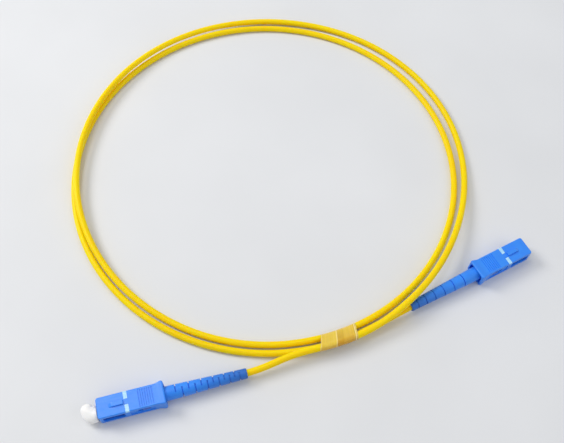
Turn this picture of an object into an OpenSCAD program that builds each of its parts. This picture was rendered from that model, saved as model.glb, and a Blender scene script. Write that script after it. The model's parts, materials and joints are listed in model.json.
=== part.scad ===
// Simplex single-mode fibre patch cord: two push-pull 2.5 mm ferrule plugs on a coiled 3 mm cord.
// Millimetres. X runs along plug A from its nose (-X) to its cable (+X), the key points to +Z,
// and the origin is the middle of plug A's underside. Plug B is the same plug, turned and moved
// to the other end of the coil.

/* [Outer housing] */
// Length of the sliding grip
housing_l = 28.4; // [27:0.1:30]
// Width of the grip
housing_w = 9; // [8.8:0.1:10]
// Height of the grip
housing_h = 7.4; // [7.3:0.1:8.4]
// Wall at the sides
side_wall = 0.9; // [0.7:0.05:1]
// Wall above and below
top_wall = 0.7; // [0.55:0.05:0.75]
// Chamfer of the nose at its sides
nose_chamfer = 0.7; // [0.2:0.05:0.75]
// Chamfer of the nose above and below
nose_bevel = 0.45; // [0.2:0.05:0.5]
// Chamfer along the edges
edge_chamfer = 0.4; // [0.2:0.1:0.6]
// How far the rear end flares out
flare = 0.55; // [0.2:0.05:0.9]
// Length of the flare
flare_l = 3.9; // [2:0.1:4.2]
// Depth of the open mouth behind the flare
mouth_l = 2; // [1:0.1:2.2]
// Wall beside the mouth
mouth_side = 1; // [0.95:0.05:1.1]
// Wall above and below the mouth
mouth_roof = 0.8; // [0.7:0.05:1]
// Length of the key
key_l = 6.2; // [4:0.1:7]
// Width of the key
key_w = 1.8; // [1.4:0.1:2.2]
// Height of the key
key_h = 0.8; // [0.5:0.1:1.2]
// Distance from the nose to the key
key_from_nose = 4.9; // [4:0.1:5.2]
// Length of the side window
window_l = 9; // [6:0.5:9.5]
// Height of the side window
window_h = 4.2; // [3:0.1:4.6]
// Distance from the nose to the side window
window_from_nose = 1.8; // [1:0.1:2.2]
// Length of the white mark along the plug
mark_l = 1.7; // [1:0.1:2.2]
// Distance from the nose to the white mark
mark_from_nose = 11.4; // [11.2:0.1:12.2]
// Depth of the recess that holds the mark
mark_depth = 0.12; // [0.05:0.01:0.2]
// Number of grip ribs
rib_count = 7; // [3:1:7]
// Distance between grip ribs
rib_pitch = 0.95; // [0.8:0.05:1]
// Width of the groove between ribs
rib_gap = 0.4; // [0.2:0.05:0.5]
// Depth of the groove between ribs
rib_depth = 0.25; // [0.1:0.05:0.3]
// How far the grip pulls back to unlatch
unlatch_travel = 2.2; // [1.5:0.1:2.5]

/* [Plug frame] */
// Length of the inner frame
frame_l = 23.1; // [22.5:0.1:23.4]
// How far the frame sits behind the nose
frame_set_back = 0.3; // [0:0.1:0.8]
// Clearance between frame and grip
slide_gap = 0.1; // [0.05:0.01:0.12]
// Diameter of the socket round the ferrule
socket_d = 4.9; // [4.7:0.05:5]
// Depth of the socket
socket_l = 7.9; // [7:0.1:8.2]
// Thickness of the wall that stops the flange
stop_wall = 1.2; // [0.8:0.1:1.5]
// Diameter of the spring chamber
chamber_d = 4.3; // [4.2:0.05:4.6]
// Depth of the latch notch in each side
notch_depth = 0.45; // [0.2:0.05:0.5]
// Length of the latch notch
notch_l = 1.8; // [1.2:0.1:2.4]
// Distance from the window's front to the latch notch
notch_from_window = 2.2; // [1.5:0.1:3]
// Height of the stop boss on each side
boss_h = 1.6; // [1:0.1:1.8]
// Length of the stop boss
boss_l = 3; // [2:0.1:3.2]

/* [Ferrule] */
// Diameter of the ferrule
ferrule_d = 2.499; // [2.498:0.001:2.5]
// Length of the ferrule
ferrule_l = 10.5; // [10.2:0.1:11]
// How far the ferrule tip sits behind the nose
tip_set_back = 0.6; // [0.2:0.1:1]
// Diameter of the glass fibre
fibre_d = 0.125; // [0.12:0.005:0.13]
// Length of the flange collar
collar_l = 2; // [1.9:0.1:2.6]
// Length of the tube behind the collar
flange_tube_l = 4.4; // [3:0.1:4.6]
// Diameter of the tube behind the collar
flange_tube_d = 1.9; // [1.6:0.1:2]
// Clearance round the sliding ferrule and flange
ferrule_gap = 0.09; // [0.05:0.01:0.1]
// Length of the buffered stub behind the ferrule
stub_l = 17; // [15:0.1:17.2]
// Wire diameter of the spring
spring_wire = 0.5; // [0.4:0.05:0.6]
// Number of spring turns
spring_turns = 6; // [4:1:7]

/* [Crimp] */
// Diameter of the barrel that the yarn is crimped on
barrel_d = 3.4; // [3.2:0.1:3.5]
// Length of the barrel
barrel_l = 5.6; // [5:0.1:6]
// Diameter of the hole through the crimp body
post_bore_d = 1.3; // [1.2:0.05:1.4]
// Thickness of the layer of yarn on the barrel
yarn_layer = 0.26; // [0.2:0.02:0.3]
// Wall of the crimp ring
crimp_wall = 0.4; // [0.3:0.05:0.45]
// Length of the ring's sleeve on the jacket
crimp_sleeve_l = 3.4; // [2:0.1:4]

/* [Boot] */
// Distance from the middle of the housing to the boot's tail
boot_tail_x = 49.6; // [48:0.1:52]
// Diameter of the boot's root
boot_root_d = 6.2; // [6.1:0.05:6.4]
// Length of the straight root behind the housing
boot_root_l = 3; // [2:0.1:4]
// Diameter of the boot's tail
boot_tail_d = 4.5; // [4.2:0.1:5]
// Length of the plain collar at the tail
boot_collar_l = 2.6; // [2:0.1:3]
// Number of slits, on alternate sides
slit_count = 12; // [8:1:12]
// Distance from the housing to the first slit
slit_from_housing = 4.3; // [4:0.1:5]
// Distance between the first slits
slit_pitch = 2.93; // [2.7:0.01:2.95]
// How much each pitch is shorter than the one before
slit_closing = 0.077; // [0:0.001:0.1]
// Width of a slit
slit_w = 0.5; // [0.4:0.05:0.7]
// How far each slit reaches past half way round
slit_lap_l = 0.8; // [0:0.05:1.2]
// Wall left under the slits at the tail
slit_wall = 0.22; // [0.15:0.01:0.3]
// Turn of boot A's slits about its axis
boot_roll_a = 5; // [-180:5:180]
// Turn of boot B's slits about its axis
boot_roll_b = -110; // [-180:5:180]

/* [Dust cap] */
// Diameter of the cap's soft head
cap_head_d = 5.6; // [5:0.1:6]
// Radius of the bend that the head takes
cap_bend_r = 4.3; // [3.6:0.1:6]
// Angle of that bend
cap_bend = 68; // [30:1:80]
// How far the head's root lies to the side
cap_offset = 1.4; // [0:0.1:1.5]
// Diameter of the cap's tube
cap_tube_d = 4.2; // [3.9:0.05:4.3]
// Length of the cap's tube
cap_tube_l = 6.8; // [5:0.1:7]
// Gap between head and nose
cap_gap = 0.3; // [0.2:0.05:0.6]
// Clearance between cap and ferrule
cap_clearance = 0.05; // [0.02:0.01:0.1]

/* [Cord] */
// Diameter of the jacket
cord_d = 3; // [2.8:0.05:3.05]
// Wall of the jacket
jacket_wall = 0.5; // [0.4:0.05:0.55]
// Diameter of the tight buffer
buffer_d = 0.9; // [0.85:0.05:1]
// Gap between jacket, yarn and buffer
layer_gap = 0.05; // [0.02:0.01:0.08]
// Length of the free tail between coil and boot B
tail_b_l = 21.6; // [21:0.1:25]

/* [Coil] */
// Coil centre along X
coil_x = 85; // [84:0.5:86]
// Coil centre along Y
coil_y = 100.5; // [100:0.5:101]
// Radius where the cord comes onto the coil
coil_r_start = 98.1; // [97.9:0.1:98.5]
// Widest radius of the first turn
coil_r_wide = 99.4; // [99:0.1:100]
// Radius of the inner turn
coil_r_inner = 92.9; // [92:0.1:93]
// Radius where the cord leaves the coil
coil_r_end = 96.8; // [96.7:0.1:97]
// How far the first turn is drawn in where it comes down beside plug B
coil_draw_start = 1.3; // [1:0.1:1.4]
// How far it is drawn in again on the far side
coil_draw_far = 0.5; // [0:0.1:0.7]
// Height of the first overlap above the strand under it
lap_lift = 3.6; // [3.5:0.1:4]
// Extra height where the cord climbs over the tail of boot B
boot_lift = 3; // [2.8:0.1:3.5]
// Height of the hump where the two turns change places
cross_lift = 3.7; // [3.6:0.1:5]

/* [Binding tape] */
// Width of the tape
tape_w = 17; // [10:0.5:18]
// Thickness of the tape
tape_t = 0.15; // [0.1:0.05:0.2]
// How far the tape lifts the strands off the table
tape_lift = 0.35; // [0.35:0.01:0.4]

/* [Hidden] */
$fn = 48;
eps = 0.01;

// Places along the plug
nose_x = -housing_l / 2;
rear_x = housing_l / 2;
axis_z = housing_h / 2;
frame_x0 = nose_x + frame_set_back;
frame_x1 = frame_x0 + frame_l;
tip_x = nose_x + tip_set_back;
stop_x0 = frame_x0 + socket_l;
stop_x1 = stop_x0 + stop_wall;
collar_x1 = stop_x1 + collar_l;
flange_x1 = collar_x1 + flange_tube_l;
ferrule_x1 = tip_x + ferrule_l;
plug_in_l = 4.2;
post_x0 = frame_x1 - plug_in_l;
shoulder_l = 0.75;
shoulder_gap = 0.05;
shoulder_x1 = frame_x1 + shoulder_gap + shoulder_l;
barrel_x1 = shoulder_x1 + barrel_l;
ring_x0 = shoulder_x1 + 0.4;
ring_x1 = barrel_x1 + 0.3;
sleeve_x1 = ring_x1 + crimp_sleeve_l + 0.3;
jacket_x0 = ring_x1 + 0.02;
cavity_x1 = frame_x1 + 0.4;
boot_x0 = cavity_x1 + unlatch_travel + 0.15;
key_x = nose_x + key_from_nose;
mark_x = nose_x + mark_from_nose;
window_x = nose_x + window_from_nose;
flare_x = rear_x - flare_l;

// Widths
cavity_w = housing_w - 2 * side_wall;
cavity_h = housing_h - 2 * top_wall;
frame_w = cavity_w - 2 * slide_gap;
frame_h = cavity_h - 2 * slide_gap;
boss_out = 0.7;
boss_x1 = frame_x1 - 2.1;
boss_x0 = boss_x1 - boss_l;
rear_hole_r = boot_root_d / 2 + 0.35;
cord_r = cord_d / 2;
jacket_bore_r = cord_r - jacket_wall;
buffer_r = buffer_d / 2;
barrel_r = barrel_d / 2;
ring_bore_r = barrel_r + yarn_layer + 2 * eps + eps;
ring_r = ring_bore_r + crimp_wall;
sleeve_bore_r = cord_r + 0.02;
sleeve_r = sleeve_bore_r + crimp_wall + 0.08;
stub_hole_r = buffer_r + layer_gap;
seat_r = ferrule_d / 2 - 0.25;

// ---- small shape helpers, all along X on the plug's axis ----

module rod_x(r, x0, x1) {
    translate([x0, 0, axis_z]) rotate([0, 90, 0]) cylinder(r = r, h = x1 - x0);
}

module cone_x(r0, r1, x0, x1) {
    translate([x0, 0, axis_z]) rotate([0, 90, 0]) cylinder(r1 = r0, r2 = r1, h = x1 - x0);
}

module box_x(x0, x1, w, h) {
    translate([x0, -w / 2, axis_z - h / 2]) cube([x1 - x0, w, h]);
}

// A polygon drawn in X and Z, as wide as w across Y
module side_prism(points, w) {
    translate([0, w / 2, 0]) rotate([90, 0, 0]) linear_extrude(w) polygon(points);
}

// A polygon drawn in Y and Z, from x0 to x1
module section_prism(points, x0, x1) {
    translate([x0, 0, 0]) rotate([90, 0, 90]) linear_extrude(x1 - x0) polygon(points);
}

function mirrored_y(half) =
    concat(half, [for (i = [len(half) - 1 : -1 : 0]) [half[i][0], -half[i][1]]]);

// ---- outer housing: the grip that slides on the plug frame ----

module housing_envelope() {
    w = housing_w / 2;
    h = housing_h;
    corner = 0.7;
    lip = 0.5;
    back = 0.3;
    plan = mirrored_y([[nose_x, w - nose_chamfer], [nose_x + nose_chamfer, w], [flare_x, w],
                       [rear_x - corner, w + flare], [rear_x, w + flare - corner]]);
    side = [[nose_x, nose_bevel], [nose_x + nose_bevel, 0], [rear_x - lip, 0],
            [rear_x, back], [rear_x, h + flare - back], [rear_x - lip, h + flare],
            [flare_x, h], [nose_x + nose_bevel, h], [nose_x, h - nose_bevel]];
    wide = w + flare;
    low = edge_chamfer + flare;
    high = edge_chamfer + 2 * flare;
    section = [[-wide, low], [low - wide, 0], [wide - low, 0], [wide, low],
               [wide, h + flare - high], [wide - high, h + flare],
               [high - wide, h + flare], [-wide, h + flare - high]];
    intersection() {
        linear_extrude(h + flare) polygon(plan);
        side_prism(side, 2 * wide);
        section_prism(section, nose_x, rear_x);
    }
}

module housing_key() {
    ramp = 1.4;
    side_prism([[key_x, housing_h - eps], [key_x + ramp, housing_h + key_h],
                [key_x + key_l, housing_h + key_h], [key_x + key_l, housing_h - eps]], key_w);
}

module housing_cuts() {
    w = housing_w / 2;
    side_recess = 0.35;
    recess_h = window_h + 0.2;
    recess_x0 = mark_x + mark_l;
    slot_play = 0.1;
    rib_margin = 0.4;
    rib_x = flare_x - 0.9 - rib_gap;
    mouth_w = housing_w + 2 * (flare - mouth_side);
    // the frame runs in here
    box_x(nose_x - 1, cavity_x1, cavity_w, cavity_h);
    // the boot comes out here
    rod_x(rear_hole_r, cavity_x1 - eps, rear_x + 1);
    translate([rear_x - mouth_l, -mouth_w / 2, mouth_roof])
        cube([mouth_l + 1, mouth_w, housing_h + flare - 2 * mouth_roof]);
    // side windows for the adapter's latches
    box_x(window_x, window_x + window_l, 2 * housing_w, window_h);
    // slots that the frame's bosses travel in
    box_x(boss_x0 - unlatch_travel - slot_play, boss_x1 + slot_play, 2 * housing_w, boss_h + 0.4);
    for (s = [-1, 1]) {
        // shallow recess along the rear half of each side
        translate([recess_x0, s * w - (s > 0 ? side_recess : 1 + flare), axis_z - recess_h / 2])
            cube([flare_x - 1 - recess_x0, 1 + flare + side_recess, recess_h]);
        // bed of the white mark
        translate([mark_x, s > 0 ? key_w / 2 : edge_chamfer - w, housing_h - mark_depth])
            cube([mark_l, w - edge_chamfer - key_w / 2, 1]);
    }
    // grip ribs above and below
    for (i = [0 : rib_count - 1], z = [-1, housing_h - rib_depth])
        translate([rib_x - i * rib_pitch, edge_chamfer + rib_margin - w, z])
            cube([rib_gap, 2 * (w - edge_chamfer - rib_margin), 1 + (z < 0 ? rib_depth : 0)]);
}

module outer_housing() {
    color("royalblue") difference() {
        union() {
            housing_envelope();
            housing_key();
        }
        housing_cuts();
    }
}

// ---- plug frame: the inner body with the ferrule's socket ----

module plug_frame() {
    c = 0.35;
    w = frame_w / 2;
    z0 = axis_z - frame_h / 2;
    z1 = axis_z + frame_h / 2;
    notch_x = window_x + notch_from_window;
    section = [[-w, z0 + c], [c - w, z0], [w - c, z0], [w, z0 + c],
               [w, z1 - c], [w - c, z1], [c - w, z1], [-w, z1 - c]];
    color("cornflowerblue") difference() {
        union() {
            section_prism(section, frame_x0, frame_x1);
            box_x(boss_x0, boss_x1, frame_w + 2 * boss_out, boss_h);
        }
        rod_x(socket_d / 2, frame_x0 - 1, stop_x0);
        cone_x(socket_d / 2 + 0.3, socket_d / 2, frame_x0 - eps, frame_x0 + 0.3);
        rod_x(ferrule_d / 2 + ferrule_gap, stop_x0 - eps, stop_x1 + eps);
        rod_x(chamber_d / 2, stop_x1, frame_x1 + 1);
        for (s = [-1, 1])
            translate([notch_x, s > 0 ? w - notch_depth : -w - 1, axis_z - window_h / 2 + 0.4])
                cube([notch_l, 1 + notch_depth, window_h - 0.8]);
    }
}

// ---- ferrule, its flange, the fibre in it, and the spring ----

module ferrule() {
    bevel = 0.3;
    free_x1 = stop_x0 - 0.3;
    color("white") difference() {
        union() {
            cone_x(ferrule_d / 2 - bevel, ferrule_d / 2, tip_x, tip_x + bevel);
            rod_x(ferrule_d / 2, tip_x + bevel, free_x1);
            rod_x(seat_r, free_x1 - eps, ferrule_x1);
        }
        rod_x(fibre_d / 2 + eps, tip_x - 1, ferrule_x1 + 1);
    }
}

module ferrule_flange() {
    color("silver") difference() {
        union() {
            rod_x(chamber_d / 2 - ferrule_gap, stop_x1, collar_x1);
            rod_x(flange_tube_d / 2, collar_x1 - eps, flange_x1);
        }
        rod_x(seat_r + eps, stop_x1 - 1, ferrule_x1);
        rod_x(stub_hole_r, ferrule_x1 - eps, flange_x1 + 1);
    }
}

module fibre_stub() {
    color("ivory") union() {
        rod_x(fibre_d / 2, tip_x, ferrule_x1 + 2 * eps);
        rod_x(buffer_r, ferrule_x1 + eps, ferrule_x1 + stub_l);
    }
}

// Rings of a tube: points p[i], with side and up vectors across it
function unit(v) = v / norm(v);
function ring_points(p, side, up, r, n) =
    [for (k = [0 : n - 1]) let (a = 360 * (k + 0.5) / n) p + r * (cos(a) * side + sin(a) * up)];
function flat(list) = [for (part = list, item = part) item];

// Triangles between ring i and ring i + 1, from point number start
function wall_faces(rings, n, start, inward) =
    flat([for (i = [0 : rings - 2], k = [0 : n - 1])
        let (a = start + i * n + k, b = start + i * n + (k + 1) % n, c = b + n, d = a + n)
        inward ? [[a, b, c], [a, c, d]] : [[a, c, b], [a, d, c]]]);

// A solid tube end is a fan; a hollow one is a band between the two walls
function end_faces(n, outer, inner, far) =
    inner < 0
    ? [for (k = [1 : n - 2]) far ? [outer, outer + k + 1, outer + k] : [outer, outer + k, outer + k + 1]]
    : flat([for (k = [0 : n - 1])
        let (a = outer + k, b = outer + (k + 1) % n, c = inner + (k + 1) % n, d = inner + k)
        far ? [[a, c, b], [a, d, c]] : [[a, b, c], [a, c, d]]]);

// frames is a list of [point, side, up]; r_in 0 makes a solid rod
module swept_tube(frames, r_out, r_in, n) {
    count = len(frames);
    outer = flat([for (f = frames) ring_points(f[0], f[1], f[2], r_out, n)]);
    inner = r_in > 0 ? flat([for (f = frames) ring_points(f[0], f[1], f[2], r_in, n)]) : [];
    last = (count - 1) * n;
    start = r_in > 0 ? count * n : -1;
    polyhedron(
        points = concat(outer, inner),
        faces = concat(wall_faces(count, n, 0, false),
                       r_in > 0 ? wall_faces(count, n, start, true) : [],
                       end_faces(n, 0, start, false),
                       end_faces(n, last, r_in > 0 ? start + last : -1, true)),
        convexity = 8);
}

spring_r = (flange_tube_d / 2 + chamber_d / 2) / 2;
spring_x0 = collar_x1 + spring_wire / 2;
spring_x1 = post_x0 - spring_wire / 2;
spring_rings = 8;
function spring_point(turn) = [spring_x0 + (spring_x1 - spring_x0) * turn / spring_turns,
                               spring_r * cos(360 * turn), axis_z + spring_r * sin(360 * turn)];
function spring_out(turn) = [0, cos(360 * turn), sin(360 * turn)];
function spring_run(turn) = unit([(spring_x1 - spring_x0) / spring_turns / 360 * 180 / PI,
                                  -spring_r * sin(360 * turn), spring_r * cos(360 * turn)]);
spring_frames = [for (i = [0 : spring_turns * spring_rings]) let (turn = i / spring_rings)
    [spring_point(turn), cross(spring_run(turn), spring_out(turn)), spring_out(turn)]];

module flange_spring() {
    color("gray") swept_tube(spring_frames, spring_wire / 2, 0, 6);
}

// ---- crimp body, crimp ring and the yarn held between them ----

module crimp_body() {
    color("gold") difference() {
        union() {
            rod_x(chamber_d / 2 - 0.02, post_x0, frame_x1 + shoulder_gap + eps);
            rod_x(cavity_h / 2 - 0.2, frame_x1 + shoulder_gap, shoulder_x1);
            rod_x(barrel_r, shoulder_x1 - eps, barrel_x1);
        }
        rod_x(post_bore_d / 2, post_x0 - 1, barrel_x1 + 1);
        // grooves that grip the yarn
        for (x = [shoulder_x1 + 1.4 : 1.2 : barrel_x1 - 0.6])
            difference() {
                rod_x(barrel_r + 1, x, x + 0.3);
                rod_x(barrel_r - 0.15, x - 1, x + 1);
            }
    }
}

module crimp_ring() {
    color("silver") difference() {
        union() {
            rod_x(ring_r, ring_x0, ring_x1 + 0.3);
            rod_x(sleeve_r, ring_x1, sleeve_x1);
        }
        rod_x(ring_bore_r, ring_x0 - 1, ring_x1);
        rod_x(sleeve_bore_r, ring_x1 - eps, sleeve_x1 + 1);
    }
}

module yarn_tuft() {
    color("khaki") difference() {
        rod_x(ring_bore_r - eps, ring_x0, ring_x1 - eps);
        rod_x(barrel_r + eps, ring_x0 - 1, barrel_x1 + eps);
        rod_x(post_bore_d / 2, ring_x0, ring_x1 + 1);
    }
}

// ---- boot: tapered strain relief with slits on alternate sides ----

// Slit places close up a little towards the tail
function slit_x(i) = rear_x + slit_from_housing + slit_pitch * i - slit_closing / 2 * i * i;

module boot(roll) {
    root_x1 = rear_x + boot_root_l;
    collar_x0 = boot_tail_x - boot_collar_l;
    rim = 0.3;
    color("dodgerblue") difference() {
        union() {
            rod_x(boot_root_d / 2, boot_x0, root_x1);
            cone_x(boot_root_d / 2, boot_tail_d / 2, root_x1, collar_x0);
            rod_x(boot_tail_d / 2, collar_x0, boot_tail_x - rim);
            cone_x(boot_tail_d / 2, boot_tail_d / 2 - rim, boot_tail_x - rim, boot_tail_x);
        }
        rod_x(ring_r + 0.1, boot_x0 - 1, ring_x1 + 0.6);
        rod_x(sleeve_r + 0.1, ring_x1, sleeve_x1 + 0.3);
        rod_x(cord_r + 0.12, sleeve_x1, boot_tail_x + 1);
        difference() {
            for (i = [0 : slit_count - 1])
                translate([slit_x(i), 0, axis_z]) rotate([roll + 180 * (i % 2), 0, 0])
                    translate([0, -slit_lap_l, -boot_root_d])
                        cube([slit_w, 2 * boot_root_d, 2 * boot_root_d]);
            cone_x(sleeve_r + 0.3, cord_r + 0.12 + slit_wall, rear_x, boot_tail_x);
        }
    }
}

// ---- dust cap on plug A: a tube on the ferrule and a soft head that bends to the side ----

module cap_head() {
    r = cap_head_d / 2;
    turned = 270 - cap_bend;
    translate([nose_x - cap_gap, cap_bend_r - cap_offset, axis_z]) {
        rotate([0, 0, turned]) rotate_extrude(angle = cap_bend) translate([cap_bend_r, 0]) circle(r);
        translate(cap_bend_r * [cos(turned), sin(turned), 0]) sphere(r);
    }
}

module dust_cap() {
    face_x = nose_x - cap_gap;
    root_r = cap_tube_d / 2;
    color("whitesmoke") difference() {
        union() {
            cap_head();
            intersection() {
                translate([face_x, 0, axis_z]) sphere(root_r);
                box_x(face_x - cap_tube_d, face_x, cap_tube_d, cap_tube_d);
            }
            rod_x(root_r, face_x - eps, face_x + cap_tube_l);
        }
        rod_x(ferrule_d / 2 + cap_clearance, tip_x - 0.2, face_x + cap_tube_l + 1);
    }
}

// ---- the cord's route ----

function ramp(x, from, to) = let (t = min(1, max(0, (x - from) / (to - from)))) t * t * (3 - 2 * t);
function hump(x, middle, half) = abs(x - middle) < half ? pow(cos(90 * (x - middle) / half), 2) : 0;

coil_start = 268;
coil_step = 15;
coil_rings = 49;
coil_end = coil_start + coil_step * coil_rings;

// Angles, counted on through the turns, between which the cord moves out, in and out again
move_out = [320, 380];
move_in = [400, 590];
move_off = [730, 955];
// Angles between which it climbs over boot B, comes down, and rises and falls for the tape
boot_climb = [282, 297];
come_down = [300, 356];
tape_rise = [612, 627];
tape_fall = [642, 657];
tape_rise_again = [972, 987];
// Middle and half width of the hump where the two turns change places
cross_place = [507, 100];
// Middle and half width of the two stretches where the first turn is drawn in
draw_start = [322, 40];
draw_far = [440, 50];

function ramp_over(a, span) = ramp(a, span[0], span[1]);
function hump_over(a, place) = hump(a, place[0], place[1]);
function coil_radius(a) = coil_r_start
    + (coil_r_wide - coil_r_start) * ramp_over(a, move_out)
    - (coil_r_wide - coil_r_inner) * ramp_over(a, move_in)
    + (coil_r_end - coil_r_inner) * ramp_over(a, move_off)
    - coil_draw_start * hump_over(a, draw_start)
    - coil_draw_far * hump_over(a, draw_far);
function coil_height(a) = cord_r + lap_lift
    + boot_lift * ramp_over(a, boot_climb)
    - (lap_lift + boot_lift) * ramp_over(a, come_down)
    + tape_lift * (ramp_over(a, tape_rise) - ramp_over(a, tape_fall) + ramp_over(a, tape_rise_again))
    + cross_lift * hump_over(a, cross_place);
function coil_point(a) = [coil_x + coil_radius(a) * cos(a), coil_y + coil_radius(a) * sin(a),
                          coil_height(a)];
function heading(a) = [-sin(a), cos(a), 0];

// The tube runs straight for one diameter at each end
coil_in = coil_point(coil_start);
coil_out = coil_point(coil_end);
coil_points = concat([coil_in, coil_in + cord_d * heading(coil_start)],
                     [for (i = [1 : coil_rings - 1]) coil_point(coil_start + coil_step * i)],
                     [coil_out - cord_d * heading(coil_end), coil_out]);

// Plug B's place follows from the coil's end
b_turn = coil_end % 360 + 90 + 180;
b_middle = coil_out + (tail_b_l + boot_tail_x) * heading(coil_end);

module at_b() {
    translate([b_middle[0], b_middle[1], 0]) rotate([0, 0, b_turn]) children();
}

// Free stretch from boot A's tail up onto the coil
tail_a_route = [[54, 0.1, 3.7], [58, 0.6, 3.8], [62, 1.2, 4.1], [66, 1.9, 4.5], [70, 2.4, 4.8],
                [74, 2.65, 5]];
tail_a_points = concat([[jacket_x0, 0, axis_z], [boot_tail_x, 0, axis_z]], tail_a_route, [coil_in]);

// Free stretch from the coil to boot B's tail: distance on from the coil's end, and rise
tail_b_route = [[0, 0], [4, 0.1], [8, 0.45], [12, 0.95], [16, 1.5], [19, 1.8]];
tail_b_points = concat([for (p = tail_b_route) coil_out + p[0] * heading(coil_end) + [0, 0, p[1]]],
    [for (x = [boot_tail_x, jacket_x0])
        [b_middle[0], b_middle[1], axis_z] - x * heading(coil_end)]);

function path_frame(points, i, run) = let (t = unit(run), s = unit(cross(t, [0, 0, 1])))
    [points[i], s, cross(s, t)];
function path_frames(points, first_run, last_run) = let (last = len(points) - 1)
    [for (i = [0 : last])
        path_frame(points, i, i == 0 ? first_run : i == last ? last_run
                                     : unit(points[i + 1] - points[i]) + unit(points[i] - points[i - 1]))];

tail_a_frames = path_frames(tail_a_points, [1, 0, 0], heading(coil_start));
coil_frames = path_frames(coil_points, heading(coil_start), heading(coil_end));
tail_b_frames = path_frames(tail_b_points, heading(coil_end), heading(coil_end));

// Least gap of the coil to itself, on four points of each run
function between(points, parts) = [for (i = [0 : len(points) - 2], k = [0 : parts - 1])
    points[i] + (points[i + 1] - points[i]) * k / parts];
coil_samples = between(coil_points, 4);
last_sample = len(coil_samples) - 1;
half_turn = 48;
second_turn = 150;
self_gap = min([for (i = [0 : last_sample - half_turn], j = [i + half_turn : last_sample])
    norm(coil_samples[i] - coil_samples[j])]) - cord_d;
tail_gap = min([for (p = between(tail_a_points, 4), i = [second_turn : last_sample])
    norm(p - coil_samples[i])]) - cord_d;
function sum(list, i = 0) = i < len(list) ? list[i] + sum(list, i + 1) : 0;
function path_length(points) = sum([for (i = [1 : len(points) - 1]) norm(points[i] - points[i - 1])]);
jacket_length = path_length(tail_a_points) + path_length(coil_points) + path_length(tail_b_points);
echo(least_gap_of_coil_to_itself = self_gap, gap_of_tail_over_coil = tail_gap);
echo(jacket_length = jacket_length, plug_b_middle = b_middle, plug_b_turn = b_turn % 360);

tail_sides = 8;
coil_sides = 6;

module cord_layer(r_out, r_in, a, coil, b) {
    if (a) swept_tube(tail_a_frames, r_out, r_in, tail_sides);
    if (coil) swept_tube(coil_frames, r_out, r_in, coil_sides);
    if (b) swept_tube(tail_b_frames, r_out, r_in, tail_sides);
}

module jacket(a, coil, b) {
    color("gold") cord_layer(cord_r, jacket_bore_r, a, coil, b);
}

module aramid_yarn() {
    color("khaki") cord_layer(jacket_bore_r - layer_gap, buffer_r + layer_gap, true, true, true);
}

module tight_buffer() {
    color("ivory") cord_layer(buffer_r, 0, true, true, true);
}

// ---- tape round the three strands at the bottom of the coil ----

module binding_tape() {
    a = coil_start + coil_step / 2;
    shrink = cos(coil_step / 2);
    reach = cord_r + tape_lift;
    // the two strands that begin or end close by run a little outside the straight middle
    bow = 0.22;
    strands = [[coil_r_start * shrink + bow, cord_r + lap_lift], [coil_r_end * shrink + bow, reach],
               [coil_r_inner * shrink, reach]];
    color("lightgray") translate([coil_x, coil_y, 0]) rotate([0, 0, a]) rotate([90, 0, 0])
        linear_extrude(tape_w, center = true) difference() {
            hull() for (s = strands) translate(s) circle(reach, $fn = 24);
            hull() for (s = strands) translate(s) circle(reach - tape_t, $fn = 24);
        }
}

// ---- one line for each node ----

outer_housing();  // outer_housing_a
at_b() outer_housing();  // outer_housing_b
plug_frame();  // plug_frame_a
at_b() plug_frame();  // plug_frame_b
ferrule();  // ferrule_a
at_b() ferrule();  // ferrule_b
ferrule_flange();  // ferrule_flange_a
at_b() ferrule_flange();  // ferrule_flange_b
flange_spring();  // flange_spring_a
at_b() flange_spring();  // flange_spring_b
fibre_stub();  // fibre_stub_a
at_b() fibre_stub();  // fibre_stub_b
crimp_body();  // crimp_body_a
at_b() crimp_body();  // crimp_body_b
crimp_ring();  // crimp_ring_a
at_b() crimp_ring();  // crimp_ring_b
yarn_tuft();  // yarn_tuft_a
at_b() yarn_tuft();  // yarn_tuft_b
boot(boot_roll_a);  // boot_a
at_b() boot(boot_roll_b);  // boot_b
dust_cap();  // dust_cap_a
jacket(true, false, false);  // jacket_tail_a
jacket(false, true, false);  // jacket_coil
jacket(false, false, true);  // jacket_tail_b
aramid_yarn();
tight_buffer();
binding_tape();
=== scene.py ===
import json
import math

import bmesh
import bpy
from mathutils import Matrix, Vector, noise


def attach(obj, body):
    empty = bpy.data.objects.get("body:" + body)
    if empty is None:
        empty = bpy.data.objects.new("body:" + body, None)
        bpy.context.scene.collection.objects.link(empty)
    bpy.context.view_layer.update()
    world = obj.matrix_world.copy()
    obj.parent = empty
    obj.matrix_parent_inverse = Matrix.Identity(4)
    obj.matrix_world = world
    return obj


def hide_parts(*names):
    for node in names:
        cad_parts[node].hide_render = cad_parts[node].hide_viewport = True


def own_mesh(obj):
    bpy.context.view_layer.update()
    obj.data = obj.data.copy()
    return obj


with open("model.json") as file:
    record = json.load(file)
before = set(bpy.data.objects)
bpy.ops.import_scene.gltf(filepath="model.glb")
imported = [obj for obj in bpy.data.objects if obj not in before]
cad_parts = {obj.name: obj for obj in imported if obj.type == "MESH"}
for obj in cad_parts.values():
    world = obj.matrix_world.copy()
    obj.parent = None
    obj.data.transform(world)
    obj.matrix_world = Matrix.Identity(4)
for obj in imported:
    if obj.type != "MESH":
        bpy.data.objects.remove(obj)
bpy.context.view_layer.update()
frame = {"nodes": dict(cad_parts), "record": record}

SOLIDS = frame["nodes"]
MM = 0.001

# Shapes are worked out in millimetres, in the place of plug A: its middle is at the origin, its nose points
# to -X and its key is up. Plug B is the same plug, moved and turned. Angles of the coil are in degrees.

AXIS_Z = 3.7                                    # height of the plugs' axis above the floor
NOSE_X, REAR_X, HALF_W, HOUSING_H = -14.2, 14.2, 4.5, 7.4
EDGE_R = 0.42                                   # rounding along the grip's edges
BOOT_X0, BOOT_TAIL_X = 11.95, 49.6              # the boot starts inside the grip

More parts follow.
